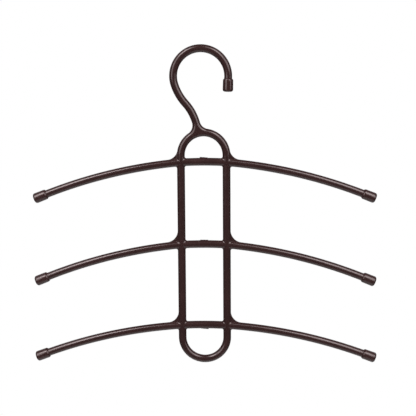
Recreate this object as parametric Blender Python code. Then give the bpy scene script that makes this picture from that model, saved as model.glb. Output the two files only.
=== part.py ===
"""Tiered hanger: one moulded frame of round rods in a single plane, and seven push-on end caps.

The corners between the tiers and the loop have true rolling-ball fillets: their surface is the one that a ball
touches while it rolls along both rods. Above each arm's root, a thin web with a round outline fills the corner
between the two fillets of the front and the back. Where the stem meets the loop, a bent rod on each side joins
them. The frame is built as a stack of closed rings. A ring joins the points that lie at one angle round the
rods' section, so the stack runs from the back of the frame, through its outline, to its front, and a flat strip
closes it on both sides.

Metres, +X to the right, +Z up, -Y towards the viewer. The origin is the seat of the hook, the highest point
inside it, where it hangs on a rail.
"""

import math

import bmesh
import bpy
from mathutils import Vector, geometry

MM = 0.001

# Rods
ROD_DIAMETER = 8.0 * MM
TIP_CHAMFER = 0.8 * MM

# Hook and neck. The chords are those of the two curves between the round of the hook and the straight neck
HOOK_BORE = 48.4 * MM
HOOK_SHIFT = 2.5 * MM
HOOK_ABOVE_TIER = 88.6 * MM
HOOK_END_TURN = math.radians(1.5)
HOOK_END_LENGTH = 15.6 * MM
EASE_START = math.radians(17.7)
EASE_RADIUS = 53.0 * MM
EASE_CHORD = 22.04 * MM
COUNTER_CHORD = 20.54 * MM
NECK_LEAN = math.radians(18.0)

# Loop: two uprights joined by a half round at the top and one at the bottom
LOOP_WIDTH = 47.2 * MM
LOOP_TOP_RISE = 7.3 * MM
LOOP_BOTTOM_DROP = 12.8 * MM

# Tiers, from the top one down
TIER_PITCH = 86.5 * MM
ARM_RADIUS = 511.0 * MM
BRIDGE_RISE = 0.65 * MM
TIER_1_SLOPE = math.radians(5.0)
TIER_2_SLOPE = math.radians(5.4)
TIER_3_SLOPE = math.radians(3.7)
TIER_1_SPAN = 355.7 * MM
TIER_2_SPAN = 357.3 * MM
TIER_3_SPAN = 360.2 * MM

# Rolling-ball fillets between the tiers and the loop, and the outline of the bent rods between stem and loop
SMALL_FILLET = 2.0 * MM
ARM_FILLET = 4.5 * MM
NECK_FILLET = 10.0 * MM

# Web above each arm's root: the radius of its outline, and the angles round the rods' section between which its
# face joins them
TIER_1_WEB_FILLET = 12.0 * MM
TIER_2_WEB_FILLET = 13.0 * MM
TIER_3_WEB_FILLET = 12.2 * MM
WEB_EDGE_ANGLE = math.radians(18.0)
WEB_FACE_ANGLE = math.radians(26.0)

# Stub of the gate in the middle of each tier, broken off aslant: above tiers 1 and 2, and below tier 3
GATE_WIDTH = 8.0 * MM
GATE_1_LEFT_HEIGHT = 0.9 * MM
GATE_1_RIGHT_HEIGHT = 0.35 * MM
GATE_2_LEFT_HEIGHT = 0.5 * MM
GATE_2_RIGHT_HEIGHT = 0.4 * MM
GATE_3_LEFT_HEIGHT = 0.2 * MM
GATE_3_RIGHT_HEIGHT = 0.75 * MM

# End caps
CAP_DIAMETER = 10.75 * MM
CAP_LENGTH = 14.8 * MM
HOOK_CAP_LENGTH = 13.9 * MM
CAP_FLARE = 0.1 * MM
CAP_LIP = 0.5 * MM
CAP_SHOULDER = 2.2 * MM
CAP_END_WALL = 2.2 * MM
CAP_END_ROUND = 2.3 * MM
CAP_CROWN = 0.3 * MM
FIT_GAP = 0.3 * MM

# Fineness of the surfaces. The rings' angles are those of one side, and the outline's ring is at zero
RING_ANGLES = [WEB_EDGE_ANGLE, WEB_FACE_ANGLE, math.radians(42.0), math.radians(60.0), math.radians(80.0)]
ARM_STEPS = 10
LOOP_TOP_STEPS = 14
LOOP_SHOULDER_STEPS = 6
LOOP_BOTTOM_STEPS = 18
HOOK_STEPS = 26
STEM_STEPS = 5
BRIDGE_STEPS = 2
WEB_STEPS = 7
NECK_STEPS = 6
CORNER_STEPS = 4
CAP_SIDES = 18
CAP_ROUND_STEPS = 4
CAP_SHOULDER_STEPS = 3
BALL_STEPS = 12
SHARP_ANGLE = math.radians(35.0)

# Plastics, in linear colour
FRAME_COLOR = (0.042, 0.021, 0.021)
FRAME_ROUGHNESS = 0.28
CAP_COLOR = (0.045, 0.022, 0.022)
CAP_ROUGHNESS = 0.32

# What the triangulation returns
INSIDE_WITHOUT_HOLES = 2

# Worked out from the sizes above
ROD_RADIUS = ROD_DIAMETER / 2
HOOK_RADIUS = HOOK_BORE / 2 + ROD_RADIUS
LOOP_RADIUS = LOOP_WIDTH / 2
BORE_RADIUS = ROD_RADIUS + FIT_GAP
TIP_TO_CAP_END = CAP_END_WALL + FIT_GAP
HOOK_CENTRE = Vector((0, -HOOK_BORE / 2))
TIER_HEIGHTS = [HOOK_CENTRE.y - HOOK_ABOVE_TIER - tier * TIER_PITCH for tier in range(3)]
TIER_SLOPES = [TIER_1_SLOPE, TIER_2_SLOPE, TIER_3_SLOPE]
TIER_SPANS = [TIER_1_SPAN, TIER_2_SPAN, TIER_3_SPAN]
WEB_FILLETS = [TIER_1_WEB_FILLET, TIER_2_WEB_FILLET, TIER_3_WEB_FILLET]
GATE_HEIGHTS = [
    (GATE_1_LEFT_HEIGHT, GATE_1_RIGHT_HEIGHT),
    (GATE_2_LEFT_HEIGHT, GATE_2_RIGHT_HEIGHT),
    (GATE_3_LEFT_HEIGHT, GATE_3_RIGHT_HEIGHT),
]
LOOP_TOP = Vector((HOOK_SHIFT, TIER_HEIGHTS[0] + LOOP_TOP_RISE))
LOOP_BOTTOM = Vector((HOOK_SHIFT, TIER_HEIGHTS[-1] - LOOP_BOTTOM_DROP))
WELD = 0.001 * MM


def polar(radius, angle):
    return Vector((radius * math.cos(angle), radius * math.sin(angle)))


class Line:
    """A straight centre line from start to end. Air lies on the left of the way it is travelled."""

    def __init__(self, start, end):
        self.start = start
        self.along = (end - start).normalized()

    def foot(self, point):
        return self.start + self.along * (point - self.start).dot(self.along)

    def normal(self, point):
        return Vector((-self.along.y, self.along.x))

    def between(self, start, end, share):
        return start.lerp(end, share)


class Arc:
    """A round centre line. turn is 1 anticlockwise and -1 clockwise, and air lies on the left."""

    def __init__(self, centre, radius, turn):
        self.centre = centre
        self.radius = radius
        self.turn = turn

    def foot(self, point):
        return self.centre + (point - self.centre).normalized() * self.radius

    def normal(self, point):
        return (self.centre - point).normalized() * self.turn

    def between(self, start, end, share):
        first = start - self.centre
        last = end - self.centre
        first_angle = math.atan2(first.y, first.x)
        sweep = (math.atan2(last.y, last.x) - first_angle) * self.turn % math.tau * self.turn
        return self.centre + polar(self.radius, first_angle + sweep * share)


class Loop:
    """The closed centre line of the loop. It is travelled and has its air like an Arc."""

    radius = LOOP_RADIUS
    half_round = math.pi * LOOP_RADIUS
    upright = LOOP_TOP.y - LOOP_BOTTOM.y
    whole = 2 * (half_round + upright)

    def __init__(self, turn):
        self.turn = turn

    def heart(self, point):
        """The nearest point of the line between the centres of the two half rounds."""
        return Vector((HOOK_SHIFT, min(max(point.y, LOOP_BOTTOM.y), LOOP_TOP.y)))

    def foot(self, point):
        heart = self.heart(point)
        return heart + (point - heart).normalized() * self.radius

    def normal(self, point):
        return (self.heart(point) - point).normalized() * self.turn

    def travelled(self, point):
        """The way to a point on the loop, anticlockwise from the lower end of the right upright."""
        out = point - self.heart(point)
        if point.y > LOOP_TOP.y:
            return self.upright + self.radius * math.atan2(out.y, out.x)
        if point.y < LOOP_BOTTOM.y:
            return self.whole + self.radius * math.atan2(out.y, out.x)
        if out.x > 0:
            return point.y - LOOP_BOTTOM.y
        return self.upright + self.half_round + LOOP_TOP.y - point.y

    def at(self, way):
        way %= self.whole
        if way < self.upright:
            return LOOP_BOTTOM + Vector((self.radius, way))
        way -= self.upright
        if way < self.half_round:
            return LOOP_TOP + polar(self.radius, way / self.radius)
        way -= self.half_round
        if way < self.upright:
            return LOOP_TOP - Vector((self.radius, way))
        way -= self.upright
        return LOOP_BOTTOM + polar(self.radius, math.pi + way / self.radius)

    def between(self, start, end, share):
        first = self.travelled(start)
        sweep = (self.travelled(end) - first) * self.turn % self.whole * self.turn
        return self.at(first + sweep * share)


class Run:
    """A stretch of an outline: its centre line, its steps, and how it meets the next stretch.

    With a fillet it meets the next one at a corner near the point meet. Without one they share that point.
    The rod's radius can change from start to end, and lifts are the heights of a ridge on the outline there.
    web is the radius of the outline of the web in the corner, where it has one, and bent tells a corner that is
    a bent rod from one with a rolling-ball fillet.
    """

    radii = (ROD_RADIUS, ROD_RADIUS)
    lifts = (0, 0)
    web = None
    bent = False

    def __init__(self, track, steps, meet, fillet=None, corner_steps=0):
        self.track = track
        self.steps = steps
        self.meet = meet
        self.fillet = fillet
        self.corner_steps = corner_steps


def touch_point(one, other, near, distance):
    """The point at this distance from both centre lines, on their air side, found by Newton steps."""
    point = near.copy()
    for _ in range(BALL_STEPS):
        first = one.normal(point)
        second = other.normal(point)
        first_miss = distance - (point - one.foot(point)).dot(first)
        second_miss = distance - (point - other.foot(point)).dot(second)
        area = first.x * second.y - first.y * second.x
        across = first_miss * second.y - second_miss * first.y
        up = second_miss * first.x - first_miss * second.x
        point += Vector((across, up)) / area
    return point


def ball_place(run, angle):
    """The corner ball's distance from both centre lines and its height, at this angle of the rods' section.

    It touches both rods there. Inside a bent rod it stays in one place and only changes its size and height. On
    the edge of a web it is level with the place where it touches the rods, and over the web's face it changes
    into the ball that rolls along both.
    """
    if run.bent:
        return ROD_RADIUS + run.fillet, ROD_RADIUS * math.sin(angle)
    distance = (ROD_RADIUS + run.fillet) * math.cos(angle)
    height = (ROD_RADIUS + run.fillet) * math.sin(angle)
    if run.web is None or abs(angle) >= WEB_FACE_ANGLE:
        return distance, height
    share = max(abs(angle) - WEB_EDGE_ANGLE, 0) / (WEB_FACE_ANGLE - WEB_EDGE_ANGLE)
    level_distance = ROD_RADIUS * math.cos(angle) + run.web
    level_height = ROD_RADIUS * math.sin(angle)
    distance = level_distance + (distance - level_distance) * share
    return distance, level_height + (height - level_height) * share


def meeting_feet(run, following, angle):
    """Where the two stretches end and begin on their centre lines."""
    if run.fillet is None:
        return run.meet, run.meet
    centre = touch_point(run.track, following.track, run.meet, ball_place(run, angle)[0])
    return run.track.foot(centre), following.track.foot(centre)


def raised(point, height):
    """A point of the frame's plane, brought forward by a height."""
    return Vector((point.x, -height, point.y))


def rod_point(track, foot, radius, angle):
    """The point of a rod's surface at this angle of its section."""
    return raised(foot + track.normal(foot) * (radius * math.cos(angle)), radius * math.sin(angle))


def corner_points(run, following, angle):
    """The points round one corner, on the ball that touches both rods."""
    distance, height = ball_place(run, angle)
    flat_centre = touch_point(run.track, following.track, run.meet, distance)
    centre = raised(flat_centre, height)
    spokes = []
    for track in (run.track, following.track):
        spokes.append(rod_point(track, track.foot(flat_centre), ROD_RADIUS, angle) - centre)
    radius = spokes[0].length
    first, last = [spoke.normalized() for spoke in spokes]
    shares = [step / run.corner_steps for step in range(1, run.corner_steps)]
    return [centre + first.slerp(last, share) * radius for share in shares]


def ring_points(runs, angle):
    """One closed ring: the outline that these stretches make at one angle round the rods' section."""
    points = []
    for index, run in enumerate(runs):
        following = runs[(index + 1) % len(runs)]
        start = meeting_feet(runs[index - 1], run, angle)[1]
        end = meeting_feet(run, following, angle)[0]
        lifts = run.lifts if angle == 0 else (0, 0)
        for step in range(run.steps + 1):
            share = step / run.steps
            foot = run.track.between(start, end, share)
            radius = run.radii[0] + (run.radii[1] - run.radii[0]) * share
            lift = lifts[0] + (lifts[1] - lifts[0]) * share
            point = rod_point(run.track, foot, radius, angle)
            points.append(point + raised(run.track.normal(foot) * lift, 0))
        if run.fillet is not None:
            points.extend(corner_points(run, following, angle))
    return points


def arm_line(tier, side):
    """An arm's round centre, its root on the loop, its cap's mouth, and the way it points there."""
    slope = TIER_SLOPES[tier]
    root = Vector((HOOK_SHIFT + side * LOOP_RADIUS, TIER_HEIGHTS[tier]))
    centre = root - Vector((side * ARM_RADIUS * math.sin(slope), ARM_RADIUS * math.cos(slope)))
    reach = TIER_SPANS[tier] / 2 - LOOP_RADIUS + ARM_RADIUS * math.sin(slope)
    mouth_slope = math.asin(reach / math.hypot(ARM_RADIUS, CAP_LENGTH)) - math.atan2(CAP_LENGTH, ARM_RADIUS)
    mouth = centre + ARM_RADIUS * Vector((side * math.sin(mouth_slope), math.cos(mouth_slope)))
    along = Vector((side * math.cos(mouth_slope), -math.sin(mouth_slope)))
    return centre, root, mouth, along


def end_runs(mouth, along, length):
    """The rod's end inside its cap: out along one side, round the chamfered end, and back."""
    tip = mouth + along * (length - TIP_TO_CAP_END)
    neck = tip - along * TIP_CHAMFER
    chamfer_out = Run(Line(mouth, tip), 1, tip)
    chamfer_out.radii = (ROD_RADIUS, ROD_RADIUS - TIP_CHAMFER)
    chamfer_back = Run(Line(tip, mouth), 1, neck)
    chamfer_back.radii = (ROD_RADIUS - TIP_CHAMFER, ROD_RADIUS)
    return [Run(Line(mouth, tip), 1, neck), chamfer_out, chamfer_back, Run(Line(tip, mouth), 1, mouth)]


def finish_corner(run, tier, webbed):
    """Gives a stretch its corner with an arm's root: one with a web above the arm, and a small one elsewhere."""
    run.fillet = ARM_FILLET if webbed else SMALL_FILLET
    run.corner_steps = WEB_STEPS if webbed else CORNER_STEPS
    if webbed:
        run.web = WEB_FILLETS[tier]


def arm_runs(tier, side):
    """One arm, clockwise round the frame: out to its end and back. A corner follows the last stretch."""
    centre, root, mouth, along = arm_line(tier, side)
    out = Run(Arc(centre, ARM_RADIUS, -side), ARM_STEPS, mouth)
    back = Run(Arc(centre, ARM_RADIUS, side), ARM_STEPS, root)
    finish_corner(back, tier, side < 0)
    return [out, *end_runs(mouth, along, CAP_LENGTH), back]


def loop_run(tier, side, steps, turn=-1, small=False):
    """A stretch of the loop that ends at a corner with a tier."""
    run = Run(Loop(turn), steps, arm_line(tier, side)[1])
    finish_corner(run, tier, not small)
    return run


class HookLine:
    """Centre lines and joints of the hook and its stem.

    From the free end: a straight end, the round of the hook, an easier curve that leaves it, a counter curve
    that turns the stem back towards the loop, and a short straight neck that meets the loop at the junction.
    """

    def __init__(self):
        turn = -HOOK_END_TURN
        self.round_end = HOOK_CENTRE + polar(HOOK_RADIUS, turn)
        self.end_along = polar(1, turn - math.pi / 2)
        self.mouth = self.round_end + self.end_along * (HOOK_END_LENGTH - HOOK_CAP_LENGTH)
        turn = math.pi + EASE_START
        self.ease_start = HOOK_CENTRE + polar(HOOK_RADIUS, turn)
        self.ease_centre = self.ease_start - polar(EASE_RADIUS, turn)
        turn += 2 * math.asin(EASE_CHORD / 2 / EASE_RADIUS)
        self.ease_end = self.ease_centre + polar(EASE_RADIUS, turn)
        counter_turn = turn - math.pi - NECK_LEAN
        self.counter_radius = COUNTER_CHORD / 2 / math.sin(counter_turn / 2)
        self.counter_centre = self.ease_end + polar(self.counter_radius, turn)
        turn -= counter_turn
        self.counter_end = self.counter_centre - polar(self.counter_radius, turn)
        neck = Line(self.counter_end, self.counter_end + polar(HOOK_RADIUS, turn + math.pi / 2))
        self.junction = touch_point(neck, Loop(-1), LOOP_TOP + Vector((0, LOOP_RADIUS)), 0)


def neck_corner(track, steps, junction):
    """A stretch that ends at the bent rod on one side of the neck."""
    run = Run(track, steps, junction, NECK_FILLET, NECK_STEPS)
    run.bent = True
    return run


def hook_runs(line):
    """The stem and hook, clockwise: up the outer side, round the free end and back down the inner side."""
    return [
        Run(Line(line.junction, line.counter_end), 1, line.counter_end),
        Run(Arc(line.counter_centre, line.counter_radius, 1), STEM_STEPS, line.ease_end),
        Run(Arc(line.ease_centre, EASE_RADIUS, -1), STEM_STEPS, line.ease_start),
        Run(Arc(HOOK_CENTRE, HOOK_RADIUS, -1), HOOK_STEPS, line.round_end),
        Run(Line(line.round_end, line.mouth), 1, line.mouth),
        *end_runs(line.mouth, line.end_along, HOOK_CAP_LENGTH),
        Run(Line(line.mouth, line.round_end), 1, line.round_end),
        Run(Arc(HOOK_CENTRE, HOOK_RADIUS, 1), HOOK_STEPS, line.ease_start),
        Run(Arc(line.ease_centre, EASE_RADIUS, 1), STEM_STEPS, line.ease_end),
        Run(Arc(line.counter_centre, line.counter_radius, -1), STEM_STEPS, line.counter_end),
        neck_corner(Line(line.counter_end, line.junction), 1, line.junction),
    ]


def outer_runs():
    """The whole outer outline, clockwise from the left side of the loop's top."""
    line = HookLine()
    runs = [neck_corner(Loop(-1), LOOP_SHOULDER_STEPS, line.junction)]
    runs += hook_runs(line)
    runs += [loop_run(0, 1, LOOP_SHOULDER_STEPS), *arm_runs(0, 1)]
    for tier in (1, 2):
        runs += [loop_run(tier, 1, 1), *arm_runs(tier, 1)]
    runs += [loop_run(2, -1, LOOP_BOTTOM_STEPS, small=True), *arm_runs(2, -1)]
    for tier in (1, 0):
        runs += [loop_run(tier, -1, 1, small=True), *arm_runs(tier, -1)]
    return runs


def bridge_runs(tier, turn, gate):
    """The middle of a tier, between the uprights, clockwise on its upper side and anticlockwise below."""
    rise_radius = (LOOP_RADIUS ** 2 + BRIDGE_RISE ** 2) / (2 * BRIDGE_RISE)
    centre = Vector((HOOK_SHIFT, TIER_HEIGHTS[tier] + BRIDGE_RISE - rise_radius))
    track = Arc(centre, rise_radius, turn)
    end = arm_line(tier, -turn)[1]
    last = Run(track, BRIDGE_STEPS, end, SMALL_FILLET, CORNER_STEPS)
    if not gate:
        return [last]
    gate_start = track.foot(centre + Vector((turn * GATE_WIDTH / 2, rise_radius)))
    gate_end = track.foot(centre + Vector((-turn * GATE_WIDTH / 2, rise_radius)))
    stub = Run(track, 1, gate_end)
    stub.lifts = GATE_HEIGHTS[tier][::-turn]
    return [Run(track, 1, gate_start), stub, last]


def window_runs():
    """The four windows inside the loop, each anticlockwise: lower edge, right side, upper edge, left side."""
    top = [*bridge_runs(0, -1, True), loop_run(0, -1, LOOP_TOP_STEPS, 1, True)]
    windows = [top]
    for tier in (1, 2):
        windows.append([
            *bridge_runs(tier, -1, tier == 1),
            loop_run(tier - 1, 1, 1, 1, True),
            *bridge_runs(tier - 1, 1, False),
            loop_run(tier, -1, 1, 1, True),
        ])
    windows.append([*bridge_runs(2, 1, True), loop_run(2, 1, LOOP_BOTTOM_STEPS, 1, True)])
    return windows


def closing_faces(outlines):
    """Triangles between the outer outline and the windows' outlines, as indices of their points."""
    flat = []
    borders = []
    for outline in outlines:
        borders.append(list(range(len(flat), len(flat) + len(outline))))
        flat += [Vector((point.x / MM, point.z / MM)) for point in outline]
    result = geometry.delaunay_2d_cdt(flat, [], borders, INSIDE_WITHOUT_HOLES, WELD / MM)
    triangles, sources = result[2], result[3]
    return [[sources[corner][0] for corner in triangle] for triangle in triangles]


def frame_mesh():
    outlines = [outer_runs(), *window_runs()]
    angles = [-angle for angle in reversed(RING_ANGLES)] + [0, *RING_ANGLES]
    mesh = bmesh.new()
    ends = {angles[0]: [], angles[-1]: []}
    for runs in outlines:
        rings = [[mesh.verts.new(point) for point in ring_points(runs, angle)] for angle in angles]
        for lower, upper in zip(rings, rings[1:]):
            for index in range(len(lower)):
                before = index - 1
                mesh.faces.new((lower[before], lower[index], upper[index], upper[before]))
        ends[angles[0]].append(rings[0])
        ends[angles[-1]].append(rings[-1])
    for rings in ends.values():
        corners = [vert for ring in rings for vert in ring]
        for triangle in closing_faces([[vert.co for vert in ring] for ring in rings]):
            mesh.faces.new([corners[index] for index in triangle])
    bmesh.ops.remove_doubles(mesh, verts=mesh.verts, dist=WELD)
    bmesh.ops.recalc_face_normals(mesh, faces=mesh.faces)
    return mesh


def cap_profile(length):
    """Radius and distance from the mouth: down the outside from the crown, and up the bore."""
    outer = CAP_DIAMETER / 2
    shoulder = outer - CAP_FLARE
    lip = BORE_RADIUS + CAP_LIP
    round_centre = Vector((outer - CAP_END_ROUND, length - CAP_CROWN - CAP_END_ROUND))
    quarter = [math.pi / 2 * (1 - step / CAP_ROUND_STEPS) for step in range(CAP_ROUND_STEPS + 1)]
    points = [Vector((0, length))]
    points += [round_centre + polar(CAP_END_ROUND, angle) for angle in quarter]
    for step in range(CAP_SHOULDER_STEPS, -1, -1):
        share = step / CAP_SHOULDER_STEPS
        swell = (1 - math.cos(math.pi * share)) / 2
        points.append(Vector((lip + (shoulder - lip) * swell, CAP_SHOULDER * share)))
    points += [Vector((BORE_RADIUS, 0)), Vector((BORE_RADIUS, length - CAP_END_WALL))]
    points.append(Vector((0, length - CAP_END_WALL)))
    return points


def cap_mesh(length):
    mesh = bmesh.new()
    verts = [mesh.verts.new((point.x, 0, point.y)) for point in cap_profile(length)]
    edges = [mesh.edges.new(pair) for pair in zip(verts, verts[1:])]
    bmesh.ops.spin(mesh, geom=verts + edges, cent=(0, 0, 0), axis=(0, 0, 1), angle=math.tau, steps=CAP_SIDES)
    bmesh.ops.remove_doubles(mesh, verts=mesh.verts, dist=WELD)
    bmesh.ops.recalc_face_normals(mesh, faces=mesh.faces)
    return mesh


def plastic(name, color, roughness):
    material = bpy.data.materials.new(name)
    material.use_nodes = True
    shader = material.node_tree.nodes["Principled BSDF"]
    shader.inputs["Base Color"].default_value = (*color, 1)
    shader.inputs["Roughness"].default_value = roughness
    shader.inputs["Metallic"].default_value = 0
    return material


def add_piece(name, mesh, material):
    data = bpy.data.meshes.new(name)
    mesh.to_mesh(data)
    mesh.free()
    data.shade_smooth()
    data.set_sharp_from_angle(angle=SHARP_ANGLE)
    data.materials.append(material)
    piece = bpy.data.objects.new(name, data)
    bpy.context.scene.collection.objects.link(piece)
    return piece


def add_cap(name, mouth, along, length, material):
    cap = add_piece(name, cap_mesh(length), material)
    cap.location = raised(mouth, 0)
    cap.rotation_euler = raised(along, 0).to_track_quat("Z", "Y").to_euler()


def build():
    for old in list(bpy.data.objects):
        bpy.data.objects.remove(old)
    frame_plastic = plastic("frame_plastic", FRAME_COLOR, FRAME_ROUGHNESS)
    cap_plastic = plastic("cap_plastic", CAP_COLOR, CAP_ROUGHNESS)
    add_piece("hanger_frame", frame_mesh(), frame_plastic)
    hook = HookLine()
    add_cap("hook_cap", hook.mouth, hook.end_along, HOOK_CAP_LENGTH, cap_plastic)
    for tier in range(3):
        for side_name, side in (("left", -1), ("right", 1)):
            mouth, along = arm_line(tier, side)[2:]
            add_cap(f"tier_{tier + 1}_{side_name}_cap", mouth, along, CAP_LENGTH, cap_plastic)


build()
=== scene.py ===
"""Tiered hanger, dressed for its picture: finer frame and caps, their plastics, the studio and the camera.

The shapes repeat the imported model's construction from the same sizes, in finer steps. They add what is too
fine for the solids: a tighter fillet beside the uprights, square flanks and rough breaks on the gates' stubs,
the ridge of the parting line and a bevel at the caps' mouths.
Metres, +X to the right, +Z up, -Y towards the viewer, and the origin is the seat of the hook.
"""

import math

import bmesh
import bpy
from mathutils import Matrix, Vector, geometry


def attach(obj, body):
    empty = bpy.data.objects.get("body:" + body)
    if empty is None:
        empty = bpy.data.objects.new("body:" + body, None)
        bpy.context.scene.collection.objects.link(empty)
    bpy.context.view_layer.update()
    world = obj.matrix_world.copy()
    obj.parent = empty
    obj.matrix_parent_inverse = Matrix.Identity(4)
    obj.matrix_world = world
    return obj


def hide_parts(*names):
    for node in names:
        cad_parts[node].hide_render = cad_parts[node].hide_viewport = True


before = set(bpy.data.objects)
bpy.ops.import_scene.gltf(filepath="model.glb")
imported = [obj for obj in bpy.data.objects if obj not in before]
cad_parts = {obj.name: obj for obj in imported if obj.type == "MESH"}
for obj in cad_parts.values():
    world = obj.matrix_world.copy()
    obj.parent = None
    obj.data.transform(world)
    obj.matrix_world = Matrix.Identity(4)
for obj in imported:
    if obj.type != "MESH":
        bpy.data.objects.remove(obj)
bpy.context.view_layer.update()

MM = 0.001

# Rods
ROD_DIAMETER = 8.0 * MM
TIP_CHAMFER = 0.8 * MM

# Hook and neck. The chords are those of the two curves between the round of the hook and the straight neck
HOOK_BORE = 48.4 * MM
HOOK_SHIFT = 2.5 * MM
HOOK_ABOVE_TIER = 88.6 * MM
HOOK_END_TURN = math.radians(1.5)
HOOK_END_LENGTH = 15.6 * MM
EASE_START = math.radians(17.7)
EASE_RADIUS = 53.0 * MM
EASE_CHORD = 22.04 * MM
COUNTER_CHORD = 20.54 * MM
NECK_LEAN = math.radians(18.0)

# Loop: two uprights joined by a half round at the top and one at the bottom
LOOP_WIDTH = 47.2 * MM
LOOP_TOP_RISE = 7.3 * MM
LOOP_BOTTOM_DROP = 12.8 * MM

# Tiers, from the top one down
TIER_PITCH = 86.5 * MM
ARM_RADIUS = 511.0 * MM
BRIDGE_RISE = 0.65 * MM
TIER_1_SLOPE = math.radians(5.0)
TIER_2_SLOPE = math.radians(5.4)
TIER_3_SLOPE = math.radians(3.7)
TIER_1_SPAN = 355.7 * MM
TIER_2_SPAN = 357.3 * MM
TIER_3_SPAN = 360.2 * MM

# Rolling-ball fillets between the tiers and the loop, and the outline of the bent rods between stem and loop
SMALL_FILLET = 2.0 * MM
ARM_FILLET = 2.4 * MM
NECK_FILLET = 10.0 * MM

# Web above each arm's root: the radius of its outline, and the angles round the rods' section between which
# its face joins them
TIER_1_WEB_FILLET = 12.0 * MM
TIER_2_WEB_FILLET = 13.0 * MM
TIER_3_WEB_FILLET = 12.2 * MM
WEB_EDGE_ANGLE = math.radians(18.0)
WEB_FACE_ANGLE = math.radians(26.0)

# Stub of the gate in the middle of each tier, broken off aslant: above tiers 1 and 2, and below tier 3. Its
# flanks stand at GATE_SIDE_ANGLE round the rod's section
GATE_WIDTH = 8.0 * MM
GATE_SIDE_ANGLE = math.radians(17.5)
GATE_ROUGHNESS = 0.14 * MM
GATE_1_LEFT_HEIGHT = 0.9 * MM
GATE_1_RIGHT_HEIGHT = 0.35 * MM
GATE_2_LEFT_HEIGHT = 0.5 * MM
GATE_2_RIGHT_HEIGHT = 0.4 * MM
GATE_3_LEFT_HEIGHT = 0.2 * MM
GATE_3_RIGHT_HEIGHT = 0.75 * MM

# Waves of the gates' broken tops: rate along the stub, rate round the rod's section, and shift
COARSE_WAVES = ((9.1, 7.7, 0.6), (4.3, -11.0, math.pi / 2))
FINE_WAVES = ((27.0, 31.0, 0.0), (14.0, -23.0, 1.1))
COARSE_PART = 0.6
FINE_PART = 0.4

# End caps
CAP_DIAMETER = 10.75 * MM
CAP_LENGTH = 14.8 * MM
HOOK_CAP_LENGTH = 13.9 * MM
CAP_FLARE = 0.1 * MM
CAP_SHOULDER_TURN = math.radians(45.0)
CAP_END_WALL = 2.2 * MM
CAP_END_ROUND = 2.3 * MM
CAP_CROWN = 0.3 * MM
CAP_MOUTH_GAP = 0.03 * MM
CAP_BEVEL = 0.58 * MM
FIT_GAP = 0.3 * MM

# Ridge that the mould's halves leave on the outline
PARTING_RIDGE = 0.05 * MM

# Fineness of the surfaces. The rings' angles are those of one side, and the outline's ring is at zero
RING_DEGREES = (
    2, 6, 10, 14, 17, 18, 19, 20, 22, 24, 25, 26, 27,
    30, 34, 38, 42, 46, 51, 56, 61, 66, 71, 76, 81, 86,
)
RING_ANGLES = [math.radians(degrees) for degrees in RING_DEGREES]
ARM_STEPS = 60
LOOP_TOP_STEPS = 56
LOOP_SHOULDER_STEPS = 36
LOOP_BOTTOM_STEPS = 72
HOOK_STEPS = 100
STEM_STEPS = 20
BRIDGE_STEPS = 10
WEB_STEPS = 20
NECK_STEPS = 18
CORNER_STEPS = 8
CAP_SIDES = 64
GATE_STEPS = 18
CAP_ROUND_STEPS = 12
CAP_SHOULDER_STEPS = 10
BALL_STEPS = 12
SHARP_ANGLE = math.radians(35.0)

# What the triangulation returns
INSIDE_WITHOUT_HOLES = 2

# Worked out from the sizes above
ROD_RADIUS = ROD_DIAMETER / 2
HOOK_RADIUS = HOOK_BORE / 2 + ROD_RADIUS
LOOP_RADIUS = LOOP_WIDTH / 2
BORE_RADIUS = ROD_RADIUS + FIT_GAP
TIP_TO_CAP_END = CAP_END_WALL + FIT_GAP
HOOK_CENTRE = Vector((0, -HOOK_BORE / 2))
TIER_HEIGHTS = [HOOK_CENTRE.y - HOOK_ABOVE_TIER - tier * TIER_PITCH for tier in range(3)]
TIER_SLOPES = [TIER_1_SLOPE, TIER_2_SLOPE, TIER_3_SLOPE]
TIER_SPANS = [TIER_1_SPAN, TIER_2_SPAN, TIER_3_SPAN]
WEB_FILLETS = [TIER_1_WEB_FILLET, TIER_2_WEB_FILLET, TIER_3_WEB_FILLET]
GATE_HEIGHTS = [
    (GATE_1_LEFT_HEIGHT, GATE_1_RIGHT_HEIGHT),
    (GATE_2_LEFT_HEIGHT, GATE_2_RIGHT_HEIGHT),
    (GATE_3_LEFT_HEIGHT, GATE_3_RIGHT_HEIGHT),
]
LOOP_TOP = Vector((HOOK_SHIFT, TIER_HEIGHTS[0] + LOOP_TOP_RISE))
LOOP_BOTTOM = Vector((HOOK_SHIFT, TIER_HEIGHTS[-1] - LOOP_BOTTOM_DROP))
WELD = 0.001 * MM


def polar(radius, angle):
    return Vector((radius * math.cos(angle), radius * math.sin(angle)))


class Line:
    """A straight centre line from start to end. Air lies on the left of the way it is travelled."""

    def __init__(self, start, end):
        self.start = start
        self.along = (end - start).normalized()

    def foot(self, point):
        return self.start + self.along * (point - self.start).dot(self.along)

    def normal(self, point):
        return Vector((-self.along.y, self.along.x))

    def between(self, start, end, share):
        return start.lerp(end, share)


class Arc:
    """A round centre line. turn is 1 anticlockwise and -1 clockwise, and air lies on the left."""

    def __init__(self, centre, radius, turn):
        self.centre = centre
        self.radius = radius
        self.turn = turn

    def foot(self, point):
        return self.centre + (point - self.centre).normalized() * self.radius

    def normal(self, point):
        return (self.centre - point).normalized() * self.turn

    def between(self, start, end, share):
        first = start - self.centre
        last = end - self.centre
        first_angle = math.atan2(first.y, first.x)
        sweep = (math.atan2(last.y, last.x) - first_angle) * self.turn % math.tau * self.turn
        return self.centre + polar(self.radius, first_angle + sweep * share)


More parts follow.
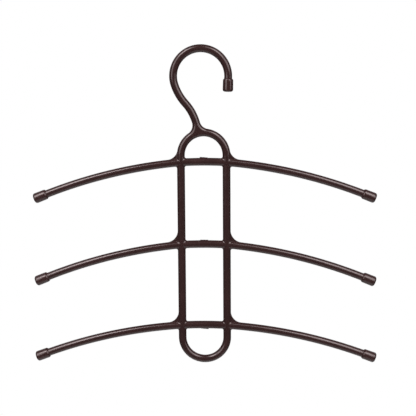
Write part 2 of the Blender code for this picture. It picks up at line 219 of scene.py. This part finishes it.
class Loop:
    """The closed centre line of the loop. It is travelled and has its air like an Arc."""

    radius = LOOP_RADIUS
    half_round = math.pi * LOOP_RADIUS
    upright = LOOP_TOP.y - LOOP_BOTTOM.y
    whole = 2 * (half_round + upright)

    def __init__(self, turn):
        self.turn = turn

    def heart(self, point):
        """The nearest point of the line between the centres of the two half rounds."""
        return Vector((HOOK_SHIFT, min(max(point.y, LOOP_BOTTOM.y), LOOP_TOP.y)))

    def foot(self, point):
        heart = self.heart(point)
        return heart + (point - heart).normalized() * self.radius

    def normal(self, point):
        return (self.heart(point) - point).normalized() * self.turn

    def travelled(self, point):
        """The way to a point on the loop, anticlockwise from the lower end of the right upright."""
        out = point - self.heart(point)
        if point.y > LOOP_TOP.y:
            return self.upright + self.radius * math.atan2(out.y, out.x)
        if point.y < LOOP_BOTTOM.y:
            return self.whole + self.radius * math.atan2(out.y, out.x)
        if out.x > 0:
            return point.y - LOOP_BOTTOM.y
        return self.upright + self.half_round + LOOP_TOP.y - point.y

    def at(self, way):
        way %= self.whole
        if way < self.upright:
            return LOOP_BOTTOM + Vector((self.radius, way))
        way -= self.upright
        if way < self.half_round:
            return LOOP_TOP + polar(self.radius, way / self.radius)
        way -= self.half_round
        if way < self.upright:
            return LOOP_TOP - Vector((self.radius, way))
        way -= self.upright
        return LOOP_BOTTOM + polar(self.radius, math.pi + way / self.radius)

    def between(self, start, end, share):
        first = self.travelled(start)
        sweep = (self.travelled(end) - first) * self.turn % self.whole * self.turn
        return self.at(first + sweep * share)


class Run:
    """A stretch of an outline: its centre line, its steps, and how it meets the next stretch.

    With a fillet it meets the next one at a corner near the point meet. Without one they share that point.
    The rod's radius can change from start to end, and lifts are the heights of a gate's stub there. web is
    the radius of the outline of the web in the corner, where it has one, and bent tells a corner that is a
    bent rod from one with a rolling-ball fillet.
    """

    radii = (ROD_RADIUS, ROD_RADIUS)
    lifts = (0, 0)
    web = None
    bent = False

    def __init__(self, track, steps, meet, fillet=None, corner_steps=0):
        self.track = track
        self.steps = steps
        self.meet = meet
        self.fillet = fillet
        self.corner_steps = corner_steps


def touch_point(one, other, near, distance):
    """The point at this distance from both centre lines, on their air side, found by Newton steps."""
    point = near.copy()
    for _ in range(BALL_STEPS):
        first = one.normal(point)
        second = other.normal(point)
        first_miss = distance - (point - one.foot(point)).dot(first)
        second_miss = distance - (point - other.foot(point)).dot(second)
        area = first.x * second.y - first.y * second.x
        across = first_miss * second.y - second_miss * first.y
        up = second_miss * first.x - first_miss * second.x
        point += Vector((across, up)) / area
    return point


def ball_place(run, angle):
    """The corner ball's distance from both centre lines and its height, at this angle of the rods' section.

    It touches both rods there. Inside a bent rod it stays in one place and only changes its size and height.
    On the edge of a web it is level with the place where it touches the rods, and over the web's face it
    changes into the ball that rolls along both.
    """
    if run.bent:
        return ROD_RADIUS + run.fillet, ROD_RADIUS * math.sin(angle)
    distance = (ROD_RADIUS + run.fillet) * math.cos(angle)
    height = (ROD_RADIUS + run.fillet) * math.sin(angle)
    if run.web is None or abs(angle) >= WEB_FACE_ANGLE:
        return distance, height
    share = max(abs(angle) - WEB_EDGE_ANGLE, 0) / (WEB_FACE_ANGLE - WEB_EDGE_ANGLE)
    level_distance = ROD_RADIUS * math.cos(angle) + run.web
    level_height = ROD_RADIUS * math.sin(angle)
    distance = level_distance + (distance - level_distance) * share
    return distance, level_height + (height - level_height) * share


def meeting_feet(run, following, angle):
    """Where the two stretches end and begin on their centre lines."""
    if run.fillet is None:
        return run.meet, run.meet
    centre = touch_point(run.track, following.track, run.meet, ball_place(run, angle)[0])
    return run.track.foot(centre), following.track.foot(centre)


def raised(point, height):
    """A point of the frame's plane, brought forward by a height."""
    return Vector((point.x, -height, point.y))


def rod_point(track, foot, radius, angle):
    """The point of a rod's surface at this angle of its section."""
    return raised(foot + track.normal(foot) * (radius * math.cos(angle)), radius * math.sin(angle))


def corner_points(run, following, angle):
    """The points round one corner, on the ball that touches both rods."""
    distance, height = ball_place(run, angle)
    flat_centre = touch_point(run.track, following.track, run.meet, distance)
    centre = raised(flat_centre, height)
    spokes = []
    for track in (run.track, following.track):
        spokes.append(rod_point(track, track.foot(flat_centre), ROD_RADIUS, angle) - centre)
    radius = spokes[0].length
    first, last = [spoke.normalized() for spoke in spokes]
    shares = [step / run.corner_steps for step in range(1, run.corner_steps)]
    return [centre + first.slerp(last, share) * radius for share in shares]


def crossed_waves(waves, share, angle):
    """Waves multiplied together, at a share of the stub's length and an angle of the rod's section."""
    return math.prod(math.sin(along * share + around * angle + shift) for along, around, shift in waves)


def broken(share, angle):
    """The roughness of a gate's broken stub at one place, from -1 to 1."""
    coarse = crossed_waves(COARSE_WAVES, share, angle)
    fine = crossed_waves(FINE_WAVES, share, angle)
    return COARSE_PART * coarse + FINE_PART * fine


def ring_points(runs, angle):
    """One closed ring: the outline that these stretches make at one angle round the rods' section."""
    points = []
    for index, run in enumerate(runs):
        following = runs[(index + 1) % len(runs)]
        start = meeting_feet(runs[index - 1], run, angle)[1]
        end = meeting_feet(run, following, angle)[0]
        lifts = run.lifts if abs(angle) < GATE_SIDE_ANGLE else (0, 0)
        ridge = PARTING_RIDGE if angle == 0 else 0
        for step in range(run.steps + 1):
            share = step / run.steps
            foot = run.track.between(start, end, share)
            radius = run.radii[0] + (run.radii[1] - run.radii[0]) * share
            lift = lifts[0] + (lifts[1] - lifts[0]) * share
            if lift:
                lift += GATE_ROUGHNESS * broken(share, angle)
            lift = max(lift, ridge)
            point = rod_point(run.track, foot, radius, angle)
            points.append(point + raised(run.track.normal(foot) * lift, 0))
        if run.fillet is not None:
            points.extend(corner_points(run, following, angle))
    return points


def arm_line(tier, side):
    """An arm's round centre, its root on the loop, its cap's mouth, and the way it points there."""
    slope = TIER_SLOPES[tier]
    root = Vector((HOOK_SHIFT + side * LOOP_RADIUS, TIER_HEIGHTS[tier]))
    centre = root - Vector((side * ARM_RADIUS * math.sin(slope), ARM_RADIUS * math.cos(slope)))
    reach = TIER_SPANS[tier] / 2 - LOOP_RADIUS + ARM_RADIUS * math.sin(slope)
    mouth_slope = math.asin(reach / math.hypot(ARM_RADIUS, CAP_LENGTH)) - math.atan2(CAP_LENGTH, ARM_RADIUS)
    mouth = centre + ARM_RADIUS * Vector((side * math.sin(mouth_slope), math.cos(mouth_slope)))
    along = Vector((side * math.cos(mouth_slope), -math.sin(mouth_slope)))
    return centre, root, mouth, along


def end_runs(mouth, along, length):
    """The rod's end inside its cap: out along one side, round the chamfered end, and back."""
    tip = mouth + along * (length - TIP_TO_CAP_END)
    neck = tip - along * TIP_CHAMFER
    chamfer_out = Run(Line(mouth, tip), 1, tip)
    chamfer_out.radii = (ROD_RADIUS, ROD_RADIUS - TIP_CHAMFER)
    chamfer_back = Run(Line(tip, mouth), 1, neck)
    chamfer_back.radii = (ROD_RADIUS - TIP_CHAMFER, ROD_RADIUS)
    return [Run(Line(mouth, tip), 1, neck), chamfer_out, chamfer_back, Run(Line(tip, mouth), 1, mouth)]


def finish_corner(run, tier, webbed):
    """Gives a stretch its corner with an arm's root: with a web above the arm, and a small one elsewhere."""
    run.fillet = ARM_FILLET if webbed else SMALL_FILLET
    run.corner_steps = WEB_STEPS if webbed else CORNER_STEPS
    if webbed:
        run.web = WEB_FILLETS[tier]


def arm_runs(tier, side):
    """One arm, clockwise round the frame: out to its end and back. A corner follows the last stretch."""
    centre, root, mouth, along = arm_line(tier, side)
    out = Run(Arc(centre, ARM_RADIUS, -side), ARM_STEPS, mouth)
    back = Run(Arc(centre, ARM_RADIUS, side), ARM_STEPS, root)
    finish_corner(back, tier, side < 0)
    return [out, *end_runs(mouth, along, CAP_LENGTH), back]


def loop_run(tier, side, steps, turn=-1, small=False):
    """A stretch of the loop that ends at a corner with a tier."""
    run = Run(Loop(turn), steps, arm_line(tier, side)[1])
    finish_corner(run, tier, not small)
    return run


class HookLine:
    """Centre lines and joints of the hook and its stem.

    From the free end: a straight end, the round of the hook, an easier curve that leaves it, a counter curve
    that turns the stem back towards the loop, and a short straight neck that meets the loop at the junction.
    """

    def __init__(self):
        turn = -HOOK_END_TURN
        self.round_end = HOOK_CENTRE + polar(HOOK_RADIUS, turn)
        self.end_along = polar(1, turn - math.pi / 2)
        self.mouth = self.round_end + self.end_along * (HOOK_END_LENGTH - HOOK_CAP_LENGTH)
        turn = math.pi + EASE_START
        self.ease_start = HOOK_CENTRE + polar(HOOK_RADIUS, turn)
        self.ease_centre = self.ease_start - polar(EASE_RADIUS, turn)
        turn += 2 * math.asin(EASE_CHORD / 2 / EASE_RADIUS)
        self.ease_end = self.ease_centre + polar(EASE_RADIUS, turn)
        counter_turn = turn - math.pi - NECK_LEAN
        self.counter_radius = COUNTER_CHORD / 2 / math.sin(counter_turn / 2)
        self.counter_centre = self.ease_end + polar(self.counter_radius, turn)
        turn -= counter_turn
        self.counter_end = self.counter_centre - polar(self.counter_radius, turn)
        neck = Line(self.counter_end, self.counter_end + polar(HOOK_RADIUS, turn + math.pi / 2))
        self.junction = touch_point(neck, Loop(-1), LOOP_TOP + Vector((0, LOOP_RADIUS)), 0)


def neck_corner(track, steps, junction):
    """A stretch that ends at the bent rod on one side of the neck."""
    run = Run(track, steps, junction, NECK_FILLET, NECK_STEPS)
    run.bent = True
    return run


def hook_runs(line):
    """The stem and hook, clockwise: up the outer side, round the free end and back down the inner side."""
    return [
        Run(Line(line.junction, line.counter_end), 1, line.counter_end),
        Run(Arc(line.counter_centre, line.counter_radius, 1), STEM_STEPS, line.ease_end),
        Run(Arc(line.ease_centre, EASE_RADIUS, -1), STEM_STEPS, line.ease_start),
        Run(Arc(HOOK_CENTRE, HOOK_RADIUS, -1), HOOK_STEPS, line.round_end),
        Run(Line(line.round_end, line.mouth), 1, line.mouth),
        *end_runs(line.mouth, line.end_along, HOOK_CAP_LENGTH),
        Run(Line(line.mouth, line.round_end), 1, line.round_end),
        Run(Arc(HOOK_CENTRE, HOOK_RADIUS, 1), HOOK_STEPS, line.ease_start),
        Run(Arc(line.ease_centre, EASE_RADIUS, 1), STEM_STEPS, line.ease_end),
        Run(Arc(line.counter_centre, line.counter_radius, -1), STEM_STEPS, line.counter_end),
        neck_corner(Line(line.counter_end, line.junction), 1, line.junction),
    ]


def outer_runs():
    """The whole outer outline, clockwise from the left side of the loop's top."""
    line = HookLine()
    runs = [neck_corner(Loop(-1), LOOP_SHOULDER_STEPS, line.junction)]
    runs += hook_runs(line)
    runs += [loop_run(0, 1, LOOP_SHOULDER_STEPS), *arm_runs(0, 1)]
    for tier in (1, 2):
        runs += [loop_run(tier, 1, 1), *arm_runs(tier, 1)]
    runs += [loop_run(2, -1, LOOP_BOTTOM_STEPS, small=True), *arm_runs(2, -1)]
    for tier in (1, 0):
        runs += [loop_run(tier, -1, 1, small=True), *arm_runs(tier, -1)]
    return runs


def bridge_runs(tier, turn, gate):
    """The middle of a tier, between the uprights, clockwise on its upper side and anticlockwise below."""
    rise_radius = (LOOP_RADIUS ** 2 + BRIDGE_RISE ** 2) / (2 * BRIDGE_RISE)
    centre = Vector((HOOK_SHIFT, TIER_HEIGHTS[tier] + BRIDGE_RISE - rise_radius))
    track = Arc(centre, rise_radius, turn)
    end = arm_line(tier, -turn)[1]
    last = Run(track, BRIDGE_STEPS, end, SMALL_FILLET, CORNER_STEPS)
    if not gate:
        return [last]
    gate_start = track.foot(centre + Vector((turn * GATE_WIDTH / 2, rise_radius)))
    gate_end = track.foot(centre + Vector((-turn * GATE_WIDTH / 2, rise_radius)))
    stub = Run(track, GATE_STEPS, gate_end)
    stub.lifts = GATE_HEIGHTS[tier][::-turn]
    return [Run(track, 1, gate_start), stub, last]


def window_runs():
    """The four windows inside the loop, each anticlockwise: lower edge, right side, upper edge, left side."""
    top = [*bridge_runs(0, -1, gate=True), loop_run(0, -1, LOOP_TOP_STEPS, turn=1, small=True)]
    windows = [top]
    for tier in (1, 2):
        windows.append([
            *bridge_runs(tier, -1, gate=tier == 1),
            loop_run(tier - 1, 1, 1, turn=1, small=True),
            *bridge_runs(tier - 1, 1, gate=False),
            loop_run(tier, -1, 1, turn=1, small=True),
        ])
    bottom = [*bridge_runs(2, 1, gate=True), loop_run(2, 1, LOOP_BOTTOM_STEPS, turn=1, small=True)]
    windows.append(bottom)
    return windows


def closing_faces(outlines):
    """Triangles between the outer outline and the windows' outlines, as indices of their points."""
    flat = []
    borders = []
    for outline in outlines:
        borders.append(list(range(len(flat), len(flat) + len(outline))))
        flat += [Vector((point.x / MM, point.z / MM)) for point in outline]
    result = geometry.delaunay_2d_cdt(flat, [], borders, INSIDE_WITHOUT_HOLES, WELD / MM)
    triangles, sources = result[2], result[3]
    return [[sources[corner][0] for corner in triangle] for triangle in triangles]


def frame_mesh():
    """The frame: a skin of rings for each outline, closed by flat faces at the back and the front."""
    outlines = [outer_runs(), *window_runs()]
    angles = [-angle for angle in reversed(RING_ANGLES)] + [0, *RING_ANGLES]
    mesh = bmesh.new()
    ends = {angles[0]: [], angles[-1]: []}
    for runs in outlines:
        rings = [[mesh.verts.new(point) for point in ring_points(runs, angle)] for angle in angles]
        for lower, upper in zip(rings, rings[1:]):
            for index in range(len(lower)):
                before = index - 1
                mesh.faces.new((lower[before], lower[index], upper[index], upper[before]))
        ends[angles[0]].append(rings[0])
        ends[angles[-1]].append(rings[-1])
    for rings in ends.values():
        corners = [vert for ring in rings for vert in ring]
        for triangle in closing_faces([[vert.co for vert in ring] for ring in rings]):
            mesh.faces.new([corners[index] for index in triangle])
    bmesh.ops.remove_doubles(mesh, verts=mesh.verts, dist=WELD)
    bmesh.ops.recalc_face_normals(mesh, faces=mesh.faces)
    return mesh


def cap_profile(length):
    """Radius and distance from the mouth: down the outside from the crown, and up the bore.

    The outside ends in a round shoulder and a straight bevel at the mouth.
    """
    outer = CAP_DIAMETER / 2
    shoulder = outer - CAP_FLARE
    mouth = ROD_RADIUS + CAP_MOUTH_GAP
    round_centre = Vector((outer - CAP_END_ROUND, length - CAP_CROWN - CAP_END_ROUND))
    quarter = [math.pi / 2 * (1 - step / CAP_ROUND_STEPS) for step in range(CAP_ROUND_STEPS + 1)]
    points = [Vector((0, length))]
    points += [round_centre + polar(CAP_END_ROUND, angle) for angle in quarter]
    shoulder_radius = (shoulder - mouth - CAP_BEVEL) / (1 - math.cos(CAP_SHOULDER_TURN))
    shoulder_height = CAP_BEVEL + shoulder_radius * math.sin(CAP_SHOULDER_TURN)
    shoulder_centre = Vector((shoulder - shoulder_radius, shoulder_height))
    for step in range(CAP_SHOULDER_STEPS + 1):
        turn = -CAP_SHOULDER_TURN * step / CAP_SHOULDER_STEPS
        points.append(shoulder_centre + polar(shoulder_radius, turn))
    points += [Vector((mouth, 0)), Vector((mouth, CAP_BEVEL)), Vector((BORE_RADIUS, length - CAP_END_WALL))]
    points.append(Vector((0, length - CAP_END_WALL)))
    return points


def cap_mesh(length):
    """A hollow cap, turned round the Z axis with its mouth at the origin."""
    mesh = bmesh.new()
    profile = cap_profile(length)
    rings = []
    for side in range(CAP_SIDES):
        out = polar(1, math.tau * side / CAP_SIDES)
        rings.append([mesh.verts.new((out.x * point.x, out.y * point.x, point.y)) for point in profile])
    for ring, following in zip(rings, rings[1:] + rings[:1]):
        for index in range(1, len(profile)):
            mesh.faces.new((ring[index - 1], ring[index], following[index], following[index - 1]))
    bmesh.ops.remove_doubles(mesh, verts=mesh.verts, dist=WELD)
    bmesh.ops.recalc_face_normals(mesh, faces=mesh.faces)
    return mesh


def add_piece(name, mesh, material, node):
    """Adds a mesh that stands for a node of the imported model."""
    data = bpy.data.meshes.new(name)
    mesh.to_mesh(data)
    mesh.free()
    data.shade_smooth()
    data.set_sharp_from_angle(angle=SHARP_ANGLE)
    data.materials.append(material)
    piece = bpy.data.objects.new(name, data)
    bpy.context.scene.collection.objects.link(piece)
    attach(piece, "root")
    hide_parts(node)


def add_cap(node, mouth, along, length, material):
    """Adds a cap over the end of a rod that points this way."""
    mesh = cap_mesh(length)
    turn = raised(along, 0).to_track_quat("Z", "Y").to_matrix().to_4x4()
    bmesh.ops.transform(mesh, matrix=Matrix.Translation(raised(mouth, 0)) @ turn, verts=mesh.verts)
    add_piece(node + "_fine", mesh, material, node)


# Plastics: linear colours and gloss, how far each swings, and the heights of the relief
FRAME_COLOR = Vector((0.038, 0.0176, 0.0172))
CAP_COLOR = Vector((0.042, 0.0195, 0.019))
GLOSS_TINT = (1.0, 0.86, 0.86)
PLASTIC_IOR = 1.59
FRAME_ROUGHNESS = 0.14
CAP_ROUGHNESS = 0.13
COLOR_SWING = 0.1
SHEEN_SWING = 0.04
RUB_ROUGHNESS = 0.14
FRAME_PEEL = 0.024 * MM
CAP_PEEL = 0.03 * MM
GRAIN_SHARE = 0.1

# Noise of each mark: its scale per metre and its detail
CLOUDS = (38.0, 3.0)
SHEEN = (150.0, 4.0)
RUBS = (620.0, 6.0)
PEEL = (330.0, 2.0)
GRAIN = (1700.0, 2.0)

# Noise values between which clouds and sheen swing, and between which a rubbed speck sets in
SWING_RANGE = (0.35, 0.65)
RUB_RANGE = (0.6, 0.72)


def add_node(tree, kind, **settings):
    """A new node with these values in its sockets."""
    node = tree.nodes.new(kind)
    for name, value in settings.items():
        node.inputs[name].default_value = value
    return node


def noise(tree, place, scale, detail):
    """Noise that varies over the object, from 0 to 1."""
    texture = add_node(tree, "ShaderNodeTexNoise", Scale=scale, Detail=detail)
    tree.links.new(place, texture.inputs["Vector"])
    return texture.outputs["Fac"]


def spread(tree, value, low, high, to_low, to_high):
    """A value moved from one range to another, and held inside it."""
    span = tree.nodes.new("ShaderNodeMapRange")
    for name, bound in (("From Min", low), ("From Max", high), ("To Min", to_low), ("To Max", to_high)):
        span.inputs[name].default_value = bound
    tree.links.new(value, span.inputs["Value"])
    return span.outputs[0]


def combine(tree, operation, first, second):
    """Two sockets, or a socket and a number, put together by a Math node."""
    node = tree.nodes.new("ShaderNodeMath")
    node.operation = operation
    for value, socket in zip((first, second), node.inputs):
        if isinstance(value, float):
            socket.default_value = value
        else:
            tree.links.new(value, socket)
    return node.outputs[0]


def plastic(name, color, roughness, peel):
    """Moulded plastic: clouds in its colour and gloss, rubbed specks, orange peel and a fine grain."""
    material = bpy.data.materials.new(name)
    material.use_nodes = True
    tree = material.node_tree
    shader = tree.nodes["Principled BSDF"]
    place = tree.nodes.new("ShaderNodeTexCoord").outputs["Object"]
    tint = tree.nodes.new("ShaderNodeMix")
    tint.data_type = "RGBA"
    tint.inputs["A"].default_value = (*color * (1 - COLOR_SWING), 1)
    tint.inputs["B"].default_value = (*color * (1 + COLOR_SWING), 1)
    clouds = spread(tree, noise(tree, place, *CLOUDS), *SWING_RANGE, 0.0, 1.0)
    tree.links.new(clouds, tint.inputs["Factor"])
    tree.links.new(tint.outputs["Result"], shader.inputs["Base Color"])
    dullest = roughness + SHEEN_SWING
    sheen = spread(tree, noise(tree, place, *SHEEN), *SWING_RANGE, roughness, dullest)
    rubs = spread(tree, noise(tree, place, *RUBS), *RUB_RANGE, 0.0, RUB_ROUGHNESS)
    tree.links.new(combine(tree, "ADD", sheen, rubs), shader.inputs["Roughness"])
    grain = combine(tree, "MULTIPLY", noise(tree, place, *GRAIN), GRAIN_SHARE)
    bump = add_node(tree, "ShaderNodeBump", Distance=peel)
    relief = combine(tree, "ADD", noise(tree, place, *PEEL), grain)
    tree.links.new(relief, bump.inputs["Height"])
    tree.links.new(bump.outputs[0], shader.inputs["Normal"])
    shader.inputs["Specular Tint"].default_value = (*GLOSS_TINT, 1)
    shader.inputs["IOR"].default_value = PLASTIC_IOR
    return material


# Camera, in the model's frame. Its focal length and the offset of the picture's middle are in pixels
EYE = Vector((0.0521279, -1.1175668, 0.0059903))
EYE_RIGHT = Vector((0.9992095, 0.0392139, -0.0065275))
EYE_UP = Vector((0.0006565, 0.1478997, 0.9890022))
EYE_BACK = EYE_RIGHT.cross(EYE_UP)
FOCAL_PIXELS = 1086.5462
PICTURE_PIXELS = 416
SENSOR_WIDTH = 36.0
CENTRE_OFFSET_PIXELS = 0.5


def add_camera():
    data = bpy.data.cameras.new("view")
    data.sensor_fit = "HORIZONTAL"
    data.sensor_width = SENSOR_WIDTH
    data.lens = FOCAL_PIXELS / PICTURE_PIXELS * SENSOR_WIDTH
    data.shift_x = -CENTRE_OFFSET_PIXELS / PICTURE_PIXELS
    data.shift_y = CENTRE_OFFSET_PIXELS / PICTURE_PIXELS
    camera = bpy.data.objects.new("view", data)
    turn = Matrix((EYE_RIGHT, EYE_UP, EYE_BACK)).transposed().to_4x4()
    camera.matrix_world = Matrix.Translation(EYE) @ turn
    bpy.context.scene.collection.objects.link(camera)
    bpy.context.scene.camera = camera


# Lamps. They stand round the middle of the hanger. Each has its azimuth to the right of the way to the
# camera, its height over that way, its width and height as seen from the hanger, all in degrees, and its
# radiance
HEART = Vector((0.0, 0.0, -0.16))
LAMP_DISTANCE = 2.5
LAMPS = {
    "left_box": (-46, 34, 44, 46, 1.7),
    "left_core": (-38, 36, 20, 26, 5.1),
    "left_low": (-44, 2, 34, 22, 1.9),
    "right_box": (34, 30, 44, 56, 1.9),
    "right_core": (29, 37, 20, 26, 3.0),
    "right_wing": (58, 11, 20, 38, 1.6),
    "back_left": (-140, 32, 36, 36, 0.4),
    "back_right": (140, 32, 36, 36, 0.4),
    "back_fill": (180, 4, 44, 44, 2.2),
}

# Lamps whose light is soft fill alone, with no streak of their own in the gloss
FILL_LAMPS = ("back_fill",)

# Power of an area lamp for each square metre and each unit of radiance
LAMP_POWER = 4

# World: white where it is seen, and dim as light on the object
WORLD_SEEN = 1.0
WORLD_LIGHT = 0.15

# Floor: a disc that is solid up to FLOOR_FULL_SHARE of its radius and fades out from there to its edge
FLOOR_HEIGHT = -1.3
FLOOR_RADIUS = 1.8
FLOOR_BEHIND = 0.15
FLOOR_SIDES = 96
FLOOR_FULL_SHARE = 0.2
FLOOR_COLOR = 0.78
FLOOR_ROUGHNESS = 0.9
FLOOR_GLOW = 0.15

# Black cloth: a round wall with a top and a bottom, which lies just under the floor. BEHIND is the direction
# of the opening in the wall, and TENT_GAP is half its width as seen from the middle
TENT_RADIUS = 3.6
TENT_TOP = 3.2
TENT_DROP = 0.02
TENT_STEPS = 48
TENT_COLOR = 0.02
TENT_GLOW = 0.04
BEHIND = math.pi / 2
TENT_GAP = math.radians(11.0)
TENT_GAP_TOP = 0.5
TENT_GAP_BOTTOM = -0.8


def add_lamp(name, azimuth, elevation, width, height, radiance):
    """Adds a soft box that faces the hanger's middle."""
    turn = math.radians(azimuth)
    lift = math.radians(elevation)
    level = EYE_RIGHT * math.sin(turn) + EYE_BACK * math.cos(turn)
    way = level * math.cos(lift) + EYE_UP * math.sin(lift)
    data = bpy.data.lights.new(name, "AREA")
    data.shape = "RECTANGLE"
    data.size = 2 * LAMP_DISTANCE * math.tan(math.radians(width) / 2) * math.cos(lift)
    data.size_y = 2 * LAMP_DISTANCE * math.tan(math.radians(height) / 2)
    data.energy = radiance * LAMP_POWER * data.size * data.size_y
    lamp = bpy.data.objects.new(name, data)
    lamp.location = HEART + way * LAMP_DISTANCE
    lamp.rotation_euler = way.to_track_quat("Z", "Y").to_euler()
    lamp.visible_camera = False
    lamp.visible_glossy = name not in FILL_LAMPS
    bpy.context.scene.collection.objects.link(lamp)


def seen_white(tree, strength_seen, strength_else):
    """Background light: one strength for the camera, gloss and glass, and one for all other light."""
    path = tree.nodes.new("ShaderNodeLightPath")
    seen = combine(tree, "MAXIMUM", path.outputs["Is Camera Ray"], path.outputs["Is Glossy Ray"])
    seen = combine(tree, "MAXIMUM", seen, path.outputs["Is Transmission Ray"])
    return spread(tree, seen, 0.0, 1.0, strength_else, strength_seen)


def add_world():
    world = bpy.data.worlds.new("studio")
    bpy.context.scene.world = world
    world.use_nodes = True
    tree = world.node_tree
    tree.nodes.clear()
    output = tree.nodes.new("ShaderNodeOutputWorld")
    light = tree.nodes.new("ShaderNodeBackground")
    light.inputs["Color"].default_value = (1, 1, 1, 1)
    tree.links.new(seen_white(tree, WORLD_SEEN, WORLD_LIGHT), light.inputs["Strength"])
    tree.links.new(light.outputs[0], output.inputs[0])


def add_stage_mesh(name, verts, faces, material):
    data = bpy.data.meshes.new(name)
    data.from_pydata(verts, [], faces)
    data.materials.append(material)
    thing = bpy.data.objects.new(name, data)
    bpy.context.scene.collection.objects.link(thing)
    return thing


def add_floor():
    """Adds a pale round floor that fades out towards its edge."""
    material = bpy.data.materials.new("pale_floor")
    material.use_nodes = True
    tree = material.node_tree
    shader = tree.nodes["Principled BSDF"]
    shader.inputs["Base Color"].default_value = (FLOOR_COLOR, FLOOR_COLOR, FLOOR_COLOR, 1)
    shader.inputs["Roughness"].default_value = FLOOR_ROUGHNESS
    shader.inputs["Emission Color"].default_value = (1, 1, 1, 1)
    tree.links.new(seen_white(tree, FLOOR_GLOW, 0.0), shader.inputs["Emission Strength"])
    place = tree.nodes.new("ShaderNodeTexCoord").outputs["Object"]
    distance = tree.nodes.new("ShaderNodeVectorMath")
    distance.operation = "LENGTH"
    tree.links.new(place, distance.inputs[0])
    full = FLOOR_RADIUS * FLOOR_FULL_SHARE
    fade = spread(tree, distance.outputs["Value"], full, FLOOR_RADIUS, 1.0, 0.0)
    tree.links.new(fade, shader.inputs["Alpha"])
    turns = [math.tau * side / FLOOR_SIDES for side in range(FLOOR_SIDES)]
    verts = [(FLOOR_RADIUS * math.cos(turn), FLOOR_RADIUS * math.sin(turn), 0) for turn in turns]
    floor = add_stage_mesh("floor", verts, [list(range(FLOOR_SIDES))], material)
    floor.location = (0, FLOOR_BEHIND, FLOOR_HEIGHT)


def add_tent():
    """Adds black cloth all round the studio, open behind the hanger. The camera doesn't see it."""
    material = bpy.data.materials.new("black_cloth")
    material.use_nodes = True
    shader = material.node_tree.nodes["Principled BSDF"]
    shader.inputs["Base Color"].default_value = (TENT_COLOR, TENT_COLOR, TENT_COLOR, 1)
    shader.inputs["Roughness"].default_value = 1.0
    shader.inputs["Emission Color"].default_value = (1, 1, 1, 1)
    shader.inputs["Emission Strength"].default_value = TENT_GLOW
    shader.inputs["Specular IOR Level"].default_value = 0.0
    verts = []
    faces = []
    floor = FLOOR_HEIGHT - TENT_DROP
    for first_turn, last_turn, bottom, top in (
        (BEHIND + TENT_GAP, BEHIND + math.tau - TENT_GAP, floor, TENT_TOP),
        (BEHIND - TENT_GAP, BEHIND + TENT_GAP, TENT_GAP_TOP, TENT_TOP),
        (BEHIND - TENT_GAP, BEHIND + TENT_GAP, floor, TENT_GAP_BOTTOM),
    ):
        base = len(verts)
        for step in range(TENT_STEPS + 1):
            turn = first_turn + (last_turn - first_turn) * step / TENT_STEPS
            place = polar(TENT_RADIUS, turn)
            verts += [(place.x, place.y, bottom), (place.x, place.y, top)]
        for lower in range(base, base + 2 * TENT_STEPS, 2):
            faces.append((lower, lower + 2, lower + 3, lower + 1))
    faces.append(list(range(1, 2 * TENT_STEPS + 2, 2)))
    faces.append(list(range(0, 2 * TENT_STEPS + 2, 2)))
    tent = add_stage_mesh("tent", verts, faces, material)
    tent.visible_camera = False


frame_plastic = plastic("frame_plastic_gloss", FRAME_COLOR, FRAME_ROUGHNESS, FRAME_PEEL)
cap_plastic = plastic("cap_plastic_gloss", CAP_COLOR, CAP_ROUGHNESS, CAP_PEEL)
add_piece("hanger_frame_fine", frame_mesh(), frame_plastic, "hanger_frame")
hook_line = HookLine()
add_cap("hook_cap", hook_line.mouth, hook_line.end_along, HOOK_CAP_LENGTH, cap_plastic)
for tier in range(3):
    for side_name, side in (("left", -1), ("right", 1)):
        mouth, along = arm_line(tier, side)[2:]
        add_cap(f"tier_{tier + 1}_{side_name}_cap", mouth, along, CAP_LENGTH, cap_plastic)
add_camera()
for name, facts in LAMPS.items():
    add_lamp(name, *facts)
add_world()
add_floor()
add_tent()
bpy.context.scene.view_settings.view_transform = "Standard"
